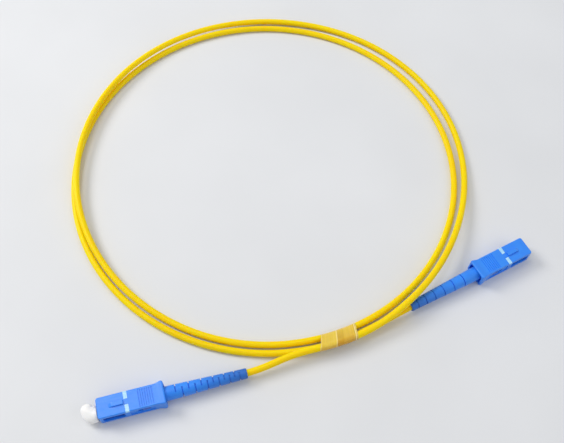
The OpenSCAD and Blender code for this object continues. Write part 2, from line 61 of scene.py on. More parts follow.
CORD_R, JACKET_X0 = 1.5, 19.9                   # the jacket starts inside the boot
COIL_X, COIL_Y = 85, 100.5
COIL_START, COIL_END = 268, 1003


# ---------------------------------------------------------------- camera

PHOTO_W, FOCAL_LENGTH = 564, 735                # pixels
SENSOR_W = 36                                   # millimetres
CAMERA_PLACE = (0.0348, -0.0957, 0.3105)        # metres
CAMERA_AZIMUTH, CAMERA_DEPRESSION, CAMERA_ROLL = 73.475, 60.9, 1.71     # degrees


def make_camera():
    azimuth, depression, roll = map(math.radians, (CAMERA_AZIMUTH, CAMERA_DEPRESSION, CAMERA_ROLL))
    forward = Vector((math.cos(depression) * math.cos(azimuth),
                      math.cos(depression) * math.sin(azimuth), -math.sin(depression)))
    right = forward.cross(Vector((0, 0, 1))).normalized()
    up = right.cross(forward)
    side = math.cos(roll) * right + math.sin(roll) * up
    top = math.cos(roll) * up - math.sin(roll) * right
    data = bpy.data.cameras.new("camera")
    data.sensor_fit = "HORIZONTAL"
    data.sensor_width = SENSOR_W
    data.lens = FOCAL_LENGTH / PHOTO_W * SENSOR_W
    data.clip_start, data.clip_end = 0.01, 20
    camera = bpy.data.objects.new("camera", data)
    bpy.context.scene.collection.objects.link(camera)
    turn = Matrix((side, top, -forward)).transposed().to_4x4()
    camera.matrix_world = Matrix.Translation(CAMERA_PLACE) @ turn
    bpy.context.scene.camera = camera


make_camera()


# ---------------------------------------------------------------- node materials

class Shader:
    """A material under construction: each call adds nodes and returns their output."""

    def __init__(self, name):
        self.material = bpy.data.materials.new(name)
        self.material.use_nodes = True
        self.tree = self.material.node_tree
        self.tree.nodes.clear()
        self.out = self.tree.nodes.new("ShaderNodeOutputMaterial")
        self.place = self.tree.nodes.new("ShaderNodeTexCoord")

    def node(self, kind, links=(), **values):
        n = self.tree.nodes.new("ShaderNode" + kind)
        for key, value in values.items():
            setattr(n, key, value)
        for socket, value in dict(links).items():
            self.put(n.inputs[socket], value)
        return n

    def put(self, socket, value):
        if isinstance(value, bpy.types.NodeSocket):
            self.tree.links.new(value, socket)
        else:
            socket.default_value = value

    def noise(self, space, scale, detail, rough, distortion):
        mapped = self.node("Mapping", {"Vector": self.place.outputs[space], "Scale": scale}).outputs[0]
        return self.node("TexNoise", {"Vector": mapped, "Scale": 1.0, "Detail": detail,
                                      "Roughness": rough, "Distortion": distortion}).outputs["Fac"]

    def grain(self, cells, along=None, detail=3, rough=0.55, distortion=0):
        """Noise with so many cells to a metre, and with its own number of them along X."""
        return self.noise("Object", (along or cells, cells, cells), detail, rough, distortion)

    def streaks(self, along, around, detail=3, rough=0.55, distortion=0):
        """Noise with so many cells along the length of a piece's UV and round it."""
        return self.noise("UV", (along, around, 1), detail, rough, distortion)

    def unwrapped(self):
        """The two coordinates of a piece's UV."""
        return self.node("SeparateXYZ", {0: self.place.outputs["UV"]}).outputs[:2]

    def ramp(self, fac, *stops):
        n = self.node("ValToRGB", {"Fac": fac})
        for i, (at, colour) in enumerate(stops):
            e = n.color_ramp.elements[i] if i < 2 else n.color_ramp.elements.new(at)
            e.position = at
            e.color = (*colour, 1)
        return n.outputs["Color"]

    def drift(self, fac, dark, light):
        """Colour that wanders between two near shades."""
        return self.ramp(fac, (0.3, dark), (0.7, light))

    def graph(self, fac, *points):
        """A number for each place along fac, with straight lines between the points."""
        return self.ramp(fac, *[(at, (value,) * 3) for at, value in points])

    def band(self, fac, low, high, between=(0.3, 0.7)):
        """A number that goes from low to high where fac goes from the one limit to the other."""
        return self.node("MapRange", {"Value": fac, "From Min": between[0], "From Max": between[1],
                                      "To Min": low, "To Max": high}).outputs[0]

    def maths(self, operation, a, b):
        return self.node("Math", {0: a, 1: b}, operation=operation).outputs[0]

    def mix(self, fac, a, b):
        n = self.node("Mix", data_type="RGBA")
        self.put(n.inputs[0], fac)
        self.put(n.inputs[6], a)
        self.put(n.inputs[7], b)
        return n.outputs[2]

    def bump(self, height, depth, strength=1.0, after=None):
        """A surface that rises with height, by a depth in millimetres, over another bump."""
        links = {"Height": height, "Distance": depth * MM, "Strength": strength}
        if after is not None:
            links["Normal"] = after
        return self.node("Bump", links).outputs[0]

    def surface(self, colour, roughness, normal, **sockets):
        shader = self.node("BsdfPrincipled", {"Base Color": colour, "Roughness": roughness, **sockets,
                                              "Normal": normal})
        self.tree.links.new(shader.outputs[0], self.out.inputs[0])
        return shader


def srgb(r, g, b):
    return tuple(c / 255 / 12.92 if c <= 10 else ((c / 255 + 0.055) / 1.055) ** 2.4 for c in (r, g, b))


def rgba(r, g, b):
    return (*srgb(r, g, b), 1)


def shaded(colour, times, plus=0.0):
    """A colour made lighter or darker, with its alpha."""
    return (*[min(1, c * times + plus) for c in colour], 1)


def moulded(name, light, dark, rough=0.36, depth=0.006, coat=0.2):
    """Satin injection-moulded plastic: slow colour drift, fine spark-eroded grain, soft handling marks."""
    s = Shader(name)
    slow = s.grain(220)
    fine = s.grain(4200, detail=2, rough=0.6)
    rubs = s.grain(1500, along=300, detail=4, rough=0.6, distortion=0.4)
    colour = s.drift(slow, dark, light)
    colour = s.mix(s.band(fine, 0.0, 0.10, (0.35, 0.65)), colour, shaded(light, 1.25, 0.01))
    gloss = s.maths("ADD", s.band(rubs, rough - 0.05, rough + 0.10, (0.35, 0.7)), s.band(fine, -0.02, 0.03))
    normal = s.bump(slow, 0.02, 0.5, after=s.bump(fine, depth, 0.9))
    s.surface(colour, gloss, normal, **{"Coat Weight": coat, "Coat Roughness": 0.28,
                                        "Specular IOR Level": 0.5})
    return s.material


def elastomer(name, light, dark):
    """Soft moulded boot: duller than the housing, with faint flow lines, and painted shade that darkens it
    towards its tail.
    """
    s = Shader(name)
    slow = s.grain(160)
    fine = s.grain(3600, rough=0.65)
    flow = s.grain(2400, along=180, detail=2, rough=0.5, distortion=0.3)
    painted_tail_shade = s.unwrapped()[0]
    colour = s.drift(slow, dark, light)
    colour = s.mix(s.band(fine, 0.0, 0.14, (0.4, 0.75)), colour, shaded(light, 1.3, 0.015))
    # Painted shade: the boot darker towards its tail.
    colour = s.mix(s.band(painted_tail_shade, 0.0, 0.8, (0.35, 1.0)), colour, shaded(dark, 0.45))
    gloss = s.maths("ADD", s.band(flow, 0.46, 0.60), s.band(fine, -0.03, 0.03))
    normal = s.bump(flow, 0.008, 0.6, after=s.bump(fine, 0.012, 0.9))
    s.surface(colour, gloss, normal, **{"Sheen Weight": 0.12, "Sheen Roughness": 0.5, "Coat Weight": 0.06,
                                        "Coat Roughness": 0.4})
    return s.material


def jacket(name):
    """Extruded yellow jacket: long drawing lines, slow drift of tint along the run, small scuffs."""
    s = Shader(name)
    lines = s.streaks(6, 90)
    tint = s.streaks(22, 2)
    scuffs = s.grain(900, detail=5, rough=0.7, distortion=0.8)
    fine = s.grain(5200, detail=2, rough=0.6)
    colour = s.ramp(tint, (0.3, srgb(249, 211, 3)), (0.5, srgb(251, 219, 4)), (0.72, srgb(252, 226, 7)))
    colour = s.mix(s.band(scuffs, 0.0, 0.16, (0.62, 0.8)), colour, rgba(253, 230, 60))
    colour = s.mix(s.band(lines, 0.0, 0.14), colour, rgba(240, 186, 0))
    gloss = s.maths("ADD", s.band(lines, 0.32, 0.42), s.band(scuffs, 0.0, 0.14, (0.5, 0.8)))
    normal = s.bump(fine, 0.006, 0.8, after=s.bump(lines, 0.010, 0.8))
    s.surface(colour, gloss, normal, **{"Subsurface Weight": 0.6, "Subsurface Radius": (1.0, 0.6, 0.05),
                                        "Subsurface Scale": 0.0022, "Specular IOR Level": 0.14})
    return s.material


def soft_white(name):
    """Soft translucent cap: milky white with faint grey handling marks."""
    s = Shader(name)
    slow = s.grain(260, detail=4, rough=0.6)
    fine = s.grain(3800, detail=2, rough=0.6)
    marks = s.grain(700, detail=5, rough=0.7, distortion=1.2)
    colour = s.drift(slow, srgb(243, 242, 240), srgb(250, 249, 248))
    colour = s.mix(s.band(marks, 0.0, 0.25, (0.62, 0.84)), colour, rgba(218, 216, 213))
    gloss = s.maths("ADD", s.band(slow, 0.38, 0.5), s.band(fine, -0.03, 0.04))
    normal = s.bump(slow, 0.05, 0.5, after=s.bump(fine, 0.010, 0.8))
    s.surface(colour, gloss, normal, **{"Subsurface Weight": 0.35, "Subsurface Radius": (1.0, 0.95, 0.9),
                                        "Subsurface Scale": 0.0012, "Coat Weight": 0.1,
                                        "Coat Roughness": 0.3})
    return s.material


def ceramic(name):
    """Lapped zirconia: nearly white and glossy, with hair-fine lapping lines along it."""
    s = Shader(name)
    slow = s.grain(400, detail=2)
    lap = s.grain(6000, along=500, detail=2)
    colour = s.drift(slow, srgb(236, 236, 231), srgb(247, 247, 244))
    s.surface(colour, s.band(lap, 0.10, 0.18), s.bump(lap, 0.002, 0.6),
              **{"Subsurface Weight": 0.25, "Subsurface Radius": (0.8, 0.8, 0.75),
                 "Subsurface Scale": 0.0006, "Specular IOR Level": 0.8})
    return s.material


def turned_metal(name, light, dark, rough=0.28):
    """Turned or drawn metal: rings round the part's axis, with a slow tarnish."""
    s = Shader(name)
    rings = s.grain(400, along=9000, rough=0.6)
    slow = s.grain(300)
    colour = s.mix(s.band(rings, 0.0, 0.2, (0.35, 0.7)), s.drift(slow, dark, light), shaded(dark, 0.7))
    s.surface(colour, s.band(rings, rough - 0.06, rough + 0.1), s.bump(rings, 0.004, 0.8),
              **{"Metallic": 1.0})
    return s.material


def aramid(name):
    """Golden yarn: fine strands along the cord, with a soft sheen."""
    s = Shader(name)
    strands = s.grain(9000, along=500, detail=4, rough=0.7, distortion=0.3)
    colour = s.ramp(strands, (0.3, srgb(188, 150, 52)), (0.6, srgb(232, 205, 106)),
                    (0.8, srgb(248, 232, 160)))
    s.surface(colour, 0.55, s.bump(strands, 0.05), **{"Sheen Weight": 0.3, "Sheen Roughness": 0.4})
    return s.material


def buffer_white(name):
    """The fibre's tight buffer: smooth white plastic."""
    s = Shader(name)
    slow = s.grain(300)
    fine = s.grain(5000, detail=2)
    colour = s.drift(slow, srgb(233, 233, 228), srgb(247, 247, 244))
    s.surface(colour, s.band(fine, 0.3, 0.42), s.bump(fine, 0.006, 0.8), **{"Coat Weight": 0.1})
    return s.material


def printed_white(name):
    """Printed index mark: pale, slightly cool and patchy."""
    s = Shader(name)
    patchy = s.grain(1400, detail=4, rough=0.65)
    fine = s.grain(5200, detail=2)
    colour = s.ramp(patchy, (0.32, srgb(150, 205, 246)), (0.5, srgb(176, 225, 253)),
                    (0.7, srgb(200, 236, 255)))
    s.surface(colour, s.band(fine, 0.34, 0.48), s.bump(patchy, 0.008, 0.8), **{"Coat Weight": 0.1})
    return s.material


def clear_tape(name):
    """Clear film: a hazy lap, a clearer band and a second, deeper lap; paler at its cut ends; haze and a
    painted highlight at its folds; painted shade below and on the near side of the deeper laps.
    """
    s = Shader(name)
    creases = s.streaks(9, 2.2, detail=4, rough=0.6, distortion=0.7)
    wipes = s.streaks(30, 3, rough=0.6)
    across, around = s.unwrapped()
    laps = s.graph(across, (0.0, 0.9), (0.02, 0.66), (0.4, 0.72), (0.43, 0.92), (0.455, 0.5), (0.6, 0.5),
                   (0.64, 0.68), (0.9, 0.72), (0.93, 0.42), (0.95, 0.95), (0.97, 0.5), (1.0, 0.9))
    # Pale bands along the film's top and lower edges: haze where it leaves the strands, and a painted
    # highlight.
    fold_haze_and_highlight = s.graph(around, (0.0, 0.0), (0.345, 0.0), (0.37, 0.5), (0.425, 0.5), (0.45, 0.0), (0.932, 0.0),
                    (0.944, 0.65), (0.972, 0.65), (1.0, 0.0))
    # Painted shade on the film's lower side.
    painted_shade_below = s.graph(around, (0.0, 0.8), (0.1, 0.6), (0.2, 0.0), (0.9, 0.0), (1.0, 0.8))
    deeper = s.graph(across, (0.0, 0.0), (0.44, 0.0), (0.455, 0.9), (0.59, 0.9), (0.64, 0.7), (0.9, 0.7),
                     (0.93, 0.0))
    # Painted shade: amber on the near side of the clearer band and the second lap.
    near_painted_shade = s.graph(around, (0.0, 1.0), (0.25, 1.0), (0.333, 0.6), (0.347, 0.1), (0.9, 0.1), (0.95, 1.0))
    ends = s.graph(across, (0.0, 0.5), (0.025, 0.0), (0.41, 0.0), (0.435, 0.5), (0.45, 0.0), (0.93, 0.0),
                   (0.95, 0.7), (0.97, 0.0), (1.0, 0.5))
    colour = s.drift(wipes, srgb(250, 212, 50), srgb(254, 227, 84))
    # Painted shade below and on the near side, pale cut ends, and the folds' haze with a painted highlight.
    for share, other in ((painted_shade_below, rgba(232, 180, 62)),
                         (s.maths("MULTIPLY", deeper, near_painted_shade), rgba(226, 168, 14)),
                         (ends, rgba(253, 243, 200)),
                         (fold_haze_and_highlight, rgba(252, 238, 206))):
        colour = s.mix(share, colour, other)
    shader = s.surface(colour, s.band(wipes, 0.12, 0.26), s.bump(creases, 0.08, 0.8),
                       **{"Coat Weight": 0.4, "Coat Roughness": 0.08})
    haze = s.maths("MAXIMUM", s.maths("MULTIPLY", laps, s.band(creases, 0.9, 1.06)), fold_haze_and_highlight)
    s.put(shader.inputs["Alpha"], haze)
    return s.material


MATERIALS = {
    "housing_blue": moulded("housing_blue", srgb(42, 141, 249), srgb(36, 131, 245)),
    # The frame is blue like the grip; its darker blue is painted shade, so that the grip's windows read
    # dark.
    "frame_blue": moulded("frame_blue", srgb(30, 92, 206), srgb(24, 80, 190), rough=0.32, depth=0.004,
                          coat=0.3),
    "boot_blue": elastomer("boot_blue", srgb(34, 139, 249), srgb(28, 128, 242)),
    # Painted shade: a dark blue for the faces deep inside the boots' slits.
    "boot_slit_painted_shade": elastomer("boot_slit_painted_shade", srgb(10, 44, 128), srgb(8, 36, 112)),
    "jacket_yellow": jacket("jacket_yellow"),
    "cap_white": soft_white("cap_white"),
    "zirconia": ceramic("zirconia"),
    "flange_metal": turned_metal("flange_metal", (0.72, 0.72, 0.74), (0.60, 0.60, 0.62)),
    "spring_steel": turned_metal("spring_steel", (0.62, 0.62, 0.64), (0.48, 0.48, 0.50), rough=0.22),
    "crimp_body_metal": turned_metal("crimp_body_metal", (0.80, 0.77, 0.70), (0.68, 0.65, 0.58), rough=0.22),
    "crimp_ring_metal": turned_metal("crimp_ring_metal", (0.84, 0.84, 0.86), (0.70, 0.70, 0.72), rough=0.34),
    "yarn": aramid("yarn"),
    "buffer_white": buffer_white("buffer_white"),
    "tape_clear": clear_tape("tape_clear"),
    "mark_white": printed_white("mark_white"),
}


# ---------------------------------------------------------------- mesh helpers

def new_object(name, mesh, material, body):
    mesh.materials.clear()
    mesh.materials.append(MATERIALS[material])
    piece = bpy.data.objects.new(name, mesh)
    bpy.context.scene.collection.objects.link(piece)
    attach(piece, body)
    return piece


def mesh_from(name, verts, faces):
    mesh = bpy.data.meshes.new(name)
    mesh.from_pydata([tuple(v) for v in verts], [], faces)
    mesh.update()
    return mesh


def mended(mesh, weld=0, outward=True):
    """The mesh with its vertices joined where they are nearer than weld, and its faces turned outward."""
    bm = bmesh.new()
    bm.from_mesh(mesh)
    if weld:
        bmesh.ops.remove_doubles(bm, verts=bm.verts, dist=weld)
    if outward:
        bmesh.ops.recalc_face_normals(bm, faces=bm.faces)
    bm.to_mesh(mesh)
    bm.free()
    return mesh


def smooth(mesh, degrees):
    """Smooth shading, with the edges that are sharper than this left sharp."""
    mesh.polygons.foreach_set("use_smooth", [True] * len(mesh.polygons))
    mesh.set_sharp_from_angle(angle=math.radians(degrees))


def evened(piece):
    """Lets the large faces decide how the rounded edges between them are shaded."""
    even = piece.modifiers.new("even_normals", "WEIGHTED_NORMAL")
    even.keep_sharp = True
    even.weight = 60


def refined(node, material, body, degrees=25):
    """A copy of a CAD solid, welded and shaded smoothly where it is round, standing in for that solid."""
    mesh = mended(SOLIDS[node].data.copy(), weld=0.002 * MM, outward=False)
    for layer in list(mesh.uv_layers):
        mesh.uv_layers.remove(layer)
    if mesh.has_custom_normals:
        mesh.attributes.remove(mesh.attributes["custom_normal"])
    smooth(mesh, degrees)
    piece = new_object(node + ".finished", mesh, material, body)
    evened(piece)
    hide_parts(node)
    return piece


def hoop(x, radius, sides):
    """Points of a circle round the plug's axis."""
    turns = [2 * math.pi * k / sides for k in range(sides)]
    return [(x, radius * math.cos(t), AXIS_Z + radius * math.sin(t)) for t in turns]


def arc(radius, first, last, steps):
    """Points of an arc round the origin, between two angles in radians."""
    turns = [first + (last - first) * k / steps for k in range(steps + 1)]
    return [(radius * math.cos(t), radius * math.sin(t)) for t in turns]


def rounded(width, height, radius, middle=(0, 0), steps=5):
    """Points round a rectangle with rounded corners."""
    loop = []
    for cx, cy, first in ((1, 1, 0), (-1, 1, 90), (-1, -1, 180), (1, -1, 270)):
        for x, y in arc(radius, math.radians(first), math.radians(first + 90), steps):
            loop.append((middle[0] + cx * (width / 2 - radius) + x,
                         middle[1] + cy * (height / 2 - radius) + y))
    return loop


def ring_faces(rings, sides, closed=False):
    """Faces between rings of equally many points; closed joins the last ring to the first."""
    faces = []
    for i in range(rings if closed else rings - 1):
        ring, following = i * sides, (i + 1) % rings * sides
        faces += [(ring + k, ring + (k + 1) % sides, following + (k + 1) % sides, following + k)
                  for k in range(sides)]
    return faces


def end_faces(rings, sides):
    """The two faces that close a run of rings."""
    return [tuple(reversed(range(sides))), tuple((rings - 1) * sides + k for k in range(sides))]


def unwrap(mesh, sides, along):
    """UV for a run of rings: u is the value of each ring in along, and v goes once round."""
    layer = mesh.uv_layers.new(name="uv")
    for poly in mesh.polygons:
        spots = [divmod(mesh.loops[loop].vertex_index, sides) for loop in poly.loop_indices]
        wraps = {0, sides - 1} <= {k for ring, k in spots}
        for loop, (ring, k) in zip(poly.loop_indices, spots):
            layer.data[loop].uv = (along[ring], (sides if wraps and k == 0 else k) / sides)


def loft(rings, name="loft"):
    """A closed solid through rings of equally many 3-D points."""
    sides = len(rings[0])
    faces = ring_faces(len(rings), sides) + end_faces(len(rings), sides)
    return mended(mesh_from(name, [p for ring in rings for p in ring], faces))


def prism(loop, low, high, axis):
    """A flat outline drawn across axis, from low to high along it."""
    order = {"x": lambda u, v, w: (w, u, v),
             "y": lambda u, v, w: (u, w, v),
             "z": lambda u, v, w: (u, v, w)}[axis]
    return loft([[order(u, v, w) for u, v in loop] for w in (low, high)])


def carve(body, cutters, operation="DIFFERENCE"):
    """Cuts the meshes in turn from body, or adds them to it."""
    base = bpy.data.objects.new("carve_base", body)
    bpy.context.scene.collection.objects.link(base)
    for cutter in cutters:
        tool = bpy.data.objects.new("carve_tool", cutter)
        bpy.context.scene.collection.objects.link(tool)
        step = base.modifiers.new("cut", "BOOLEAN")
        step.operation = operation
        step.solver = "EXACT"
        step.object = tool
        bpy.context.view_layer.update()
        made = bpy.data.meshes.new_from_object(base.evaluated_get(bpy.context.evaluated_depsgraph_get()))
        base.modifiers.clear()
        base.data = made
        bpy.data.objects.remove(tool)
    made = base.data
    bpy.data.objects.remove(base)
    return made


# ---------------------------------------------------------------- the cord's route

# Radii where the cord comes onto the coil, at its widest, on the inner turn and where it leaves, and the
# angles between which it moves from each to the next
R_START, R_WIDE, R_INNER, R_END = 98.1, 99.4, 92.9, 96.8
MOVE_OUT, MOVE_IN, MOVE_OFF = (320, 380), (400, 590), (730, 955)
# Two stretches where the first turn is drawn in: how far, and their middle and half width
DRAW_START, DRAW_START_PLACE = 1.3, (322, 40)
DRAW_FAR, DRAW_FAR_PLACE = 0.5, (440, 50)
# Height of the first overlap above the strand under it, and where the cord comes down from it
LAP_LIFT, COME_DOWN = 3.6, (300, 356)
# Extra height where it climbs over the tail of boot B
BOOT_LIFT, BOOT_CLIMB = 3, (282, 297)
# Height of the hump where the two turns change places, with its middle and half width
CROSS_LIFT, CROSS_PLACE = 3.7, (507, 100)
# How far the tape lifts the strands off the floor, and where they rise and fall for it
TAPE_LIFT, TAPE_RISE, TAPE_FALL, TAPE_RISE_AGAIN = 0.35, (612, 627), (642, 657), (972, 987)

# Points between boot A and the coil
TAIL_A_ROUTE = [(54, 0.1, 3.7), (58, 0.6, 3.8), (62, 1.2, 4.1),
                (66, 1.9, 4.5), (70, 2.4, 4.8), (74, 2.65, 5)]
# Points between the coil and boot B: how far on from the coil's end, and how far up
TAIL_B_ROUTE = [(4, 0.1), (8, 0.45), (12, 0.95), (16, 1.5), (19, 1.8)]
TAIL_B_L = 21.6
IN_BOOT = (JACKET_X0, 30, 40, BOOT_TAIL_X)      # where the straight jacket in a boot has its points


def ramp(x, low, high):
    t = min(1, max(0, (x - low) / (high - low)))
    return t * t * (3 - 2 * t)


def hump(x, middle, half):
    return math.cos(math.radians(90 * (x - middle) / half)) ** 2 if abs(x - middle) < half else 0


def coil_point(a):
    """The cord's centre at an angle that is counted on through the turns."""
    radius = (R_START + (R_WIDE - R_START) * ramp(a, *MOVE_OUT) - (R_WIDE - R_INNER) * ramp(a, *MOVE_IN)
              + (R_END - R_INNER) * ramp(a, *MOVE_OFF)
              - DRAW_START * hump(a, *DRAW_START_PLACE) - DRAW_FAR * hump(a, *DRAW_FAR_PLACE))
    height = (CORD_R + LAP_LIFT + BOOT_LIFT * ramp(a, *BOOT_CLIMB)
              - (LAP_LIFT + BOOT_LIFT) * ramp(a, *COME_DOWN)
              + TAPE_LIFT * (ramp(a, *TAPE_RISE) - ramp(a, *TAPE_FALL) + ramp(a, *TAPE_RISE_AGAIN))
              + CROSS_LIFT * hump(a, *CROSS_PLACE))
    return Vector((COIL_X + radius * math.cos(math.radians(a)),
                   COIL_Y + radius * math.sin(math.radians(a)), height))


def heading(a):
    return Vector((-math.sin(math.radians(a)), math.cos(math.radians(a)), 0))


COIL_OUT = coil_point(COIL_END)
B_MIDDLE = COIL_OUT + (TAIL_B_L + BOOT_TAIL_X) * heading(COIL_END)
B_TURN = math.radians(COIL_END % 360 - 90)


def placed(mesh, end):
    """Moves a mesh made in plug A's place, in millimetres, to its own plug and to metres."""
    if end == "b":
        mesh.transform(Matrix.Translation((B_MIDDLE[0], B_MIDDLE[1], 0)) @ Matrix.Rotation(B_TURN, 4, "Z"))
    mesh.transform(Matrix.Scale(MM, 4))
    return mesh


def evenly(run, step):
    """Points at equal steps along a run of points, with its last one."""
    points, left = [run[0]], 0.0
    for a, b in zip(run, run[1:]):
        span = (b - a).length
        at = step - left
        while at <= span:
            points.append(a.lerp(b, at / span))
            at += step
        left = span - (at - step)
    return points + [run[-1]]


def softened(points, passes):
    """The points with their corners evened out; the two ends stay."""
    for _ in range(passes):
        between = [points[i] / 2 + (points[i - 1] + points[i + 1]) / 4 for i in range(1, len(points) - 1)]
        points = [points[0]] + between + [points[-1]]
    return points


def route():
    """The cord's centreline in millimetres, from inside boot A round the coil and into boot B."""
    coil_step, path_step, passes = 3, 1.5, 14
    run = [Vector((x, 0, AXIS_Z)) for x in IN_BOOT]
    run += [Vector(p) for p in TAIL_A_ROUTE]
    run += [coil_point(a) for a in range(COIL_START, COIL_END + 1, coil_step)]
    run += [COIL_OUT + along * heading(COIL_END) + Vector((0, 0, rise)) for along, rise in TAIL_B_ROUTE]
    for x in reversed(IN_BOOT):
        p = B_MIDDLE - x * heading(COIL_END)
        run.append(Vector((p.x, p.y, AXIS_Z)))
    return softened(evenly(run, path_step), passes)


ROUTE = route()


# ---------------------------------------------------------------- jacket, yarn and buffer

YARN_R, BUFFER_R = 0.93, 0.45


def tube(name, points, radius, sides, wobble=None):
    """A closed tube of short rings along points, in millimetres, with UV u along and v round."""
    along = [0.0]
    for a, b in zip(points, points[1:]):
        along.append(along[-1] + (b - a).length)
    verts, last = [], len(points) - 1
    for i, p in enumerate(points):
        run = (points[min(last, i + 1)] - points[max(0, i - 1)]).normalized()
        side = run.cross(Vector((0, 0, 1))).normalized()
        up = side.cross(run)
        for k in range(sides):
            t = 2 * math.pi * k / sides
            r = radius if wobble is None else radius + wobble(along[i], t)
            verts.append((p + r * (math.cos(t) * side + math.sin(t) * up)) * MM)
    mesh = mesh_from(name, verts, ring_faces(len(points), sides) + end_faces(len(points), sides))
    unwrap(mesh, sides, [at / along[-1] for at in along])
    smooth(mesh, 50)
    return mesh


def out_of_round(along, t):
    """How far the jacket is out of round, in millimetres."""
    return 0.012 * math.sin(along / 37) * math.cos(2 * t + along / 90)


def cord_layer(name, points, radius, sides, material, wobble=None):
    return new_object(name, tube(name, points, radius, sides, wobble), material, "cord_and_plugs")


EVERY_OTHER = ROUTE[::2] + [ROUTE[-1]]
cord = cord_layer("jacket_whole", ROUTE, CORD_R, 20, "jacket_yellow", out_of_round)
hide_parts("jacket_tail_a", "jacket_coil", "jacket_tail_b")
yarn = cord_layer("aramid_layer", EVERY_OTHER, YARN_R, 10, "yarn")
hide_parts("aramid_yarn")
core = cord_layer("buffer_core", EVERY_OTHER, BUFFER_R, 8, "buffer_white")
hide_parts("tight_buffer")


# ---------------------------------------------------------------- tape round the strands

TAPE_W, FILM_T = 17.0, 0.06
TAPE_MIDDLE = 274.5
TAPE_R = 96                                     # radius at which the tape's width is measured
TAPE_CLEAR = 0.13                               # from the jacket to the film's outer side
TAPE_SKEW, SKEW_R = 0.34, 95.5                  # its slant across the strands, turned about this radius


def strands_at(angle):
    """Where the lap, the leaving and the inner strand cross a spoke of the coil: (radius, height) each."""
    found = []
    for turn in (0, 720, 360):
        p = coil_point(angle + turn)
        found.append((math.hypot(p.x - COIL_X, p.y - COIL_Y), p.z))
    return found


def tight_loop(circles, reach, count):
    """A tight loop round equal circles, as points of a fan of directions."""
    loop = []
    for k in range(count):
        t = 2 * math.pi * k / count
        d = Vector((math.cos(t), math.sin(t)))
        loop.append(max(((Vector(c) + reach * d) for c in circles), key=lambda p: p.dot(d)))
    return loop


def make_tape():
    """The wrap's outer surface, creased a little; a modifier adds the film's thickness inwards."""
    sides, rows, floor_z = 72, 34, 0.02
    verts = []
    for i in range(rows + 1):
        share = i / rows
        angle = TAPE_MIDDLE + math.degrees((share - 0.5) * TAPE_W / TAPE_R)
        strands = strands_at(min(max(angle, COIL_START), COIL_END - 720))
        for k, (r, z) in enumerate(tight_loop(strands, CORD_R + TAPE_CLEAR, sides)):
            wide = noise.noise(Vector((share * 5, k * 0.35, 3.1)))
            narrow = noise.noise(Vector((share * 14, k * 0.12, 9.4)))
            out = 0.07 * wide + 0.05 * narrow
            t = 2 * math.pi * k / sides
            r += out * math.cos(t)
            z = max(floor_z, z + out * math.sin(t))
            a = math.radians(angle) - TAPE_SKEW * (r - SKEW_R) / SKEW_R
            verts.append(Vector((COIL_X + r * math.cos(a), COIL_Y + r * math.sin(a), z)) * MM)
    mesh = mesh_from("tape", verts, ring_faces(rows + 1, sides))
    unwrap(mesh, sides, [i / rows for i in range(rows + 1)])
    smooth(mesh, 60)
    piece = new_object("tape_wrap", mesh, "tape_clear", "cord_and_plugs")
    film = piece.modifiers.new("film", "SOLIDIFY")
    film.thickness = FILM_T * MM
    film.offset = 1
    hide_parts("binding_tape")
    return piece


tape = make_tape()


# ---------------------------------------------------------------- grips

FLARE, FLARE_X = 0.55, 10.3
KEY_TOP, KEY_HALF_W = HOUSING_H + 0.8, 0.9
RIB_COUNT, RIB_PITCH, RIB_X, RIB_HALF_L, RIB_DEPTH = 7, 0.95, 9.2, 3.7, 0.25


def housing_rings():
    """Sections of the grip from nose to rear: (x, half width, lowest, highest, corner radius)."""
    nose_side, nose_level, nose_steps = 0.95, 0.45, 6
    rear_side, rear_level, rear_steps, rear_l, rear_corner = 0.75, 0.3, 5, 0.65, 0.62
    flare_steps, flare_x1 = 9, REAR_X - rear_l
    rows = []
    for k in range(nose_steps + 1):
        t = math.radians(90 * k / nose_steps)
        lift = nose_level * (1 - math.sin(t))
        rows.append((NOSE_X + nose_side * (1 - math.cos(t)), HALF_W - nose_side * (1 - math.sin(t)),
                     lift, HOUSING_H - lift, EDGE_R))
    for k in range(flare_steps + 1):
        t = k / flare_steps
        grow = FLARE * ramp(t, 0, 1)
        rows.append((FLARE_X + (flare_x1 - FLARE_X) * t, HALF_W + grow, 0, HOUSING_H + grow,
                     EDGE_R + (rear_corner - EDGE_R) * t))
    for k in range(1, rear_steps + 1):
        t = math.radians(90 * k / rear_steps)
        inset = rear_level * (1 - math.cos(t))
        rows.append((flare_x1 + rear_l * math.sin(t), HALF_W + FLARE - rear_side * (1 - math.cos(t)),
                     inset, HOUSING_H + FLARE - inset, rear_corner))
    return rows


def key_form():
    """The key on the grip's top: a ramp in front, rounded edges and a short round end."""
    root, shoulder, corner = 7.0, 0.16, 0.05
    rings = []
    for x, top, half in ((-9.3, 7.41, 0.80), (-8.9, 7.6, 0.85), (-8.3, 7.92, 0.89), (-7.9, 8.12, KEY_HALF_W),
                         (-7.5, KEY_TOP, KEY_HALF_W), (-3.3, KEY_TOP, KEY_HALF_W), (-3.16, 8.14, 0.89),
                         (-3.1, 8.02, 0.87)):
        side = [(half, top - shoulder), (half - corner, top - corner), (half - shoulder, top)]
        section = [(-half, root), (half, root), *side, *[(-y, z) for y, z in reversed(side)]]
        rings.append([(x, y, z) for y, z in section])
    return loft(rings)


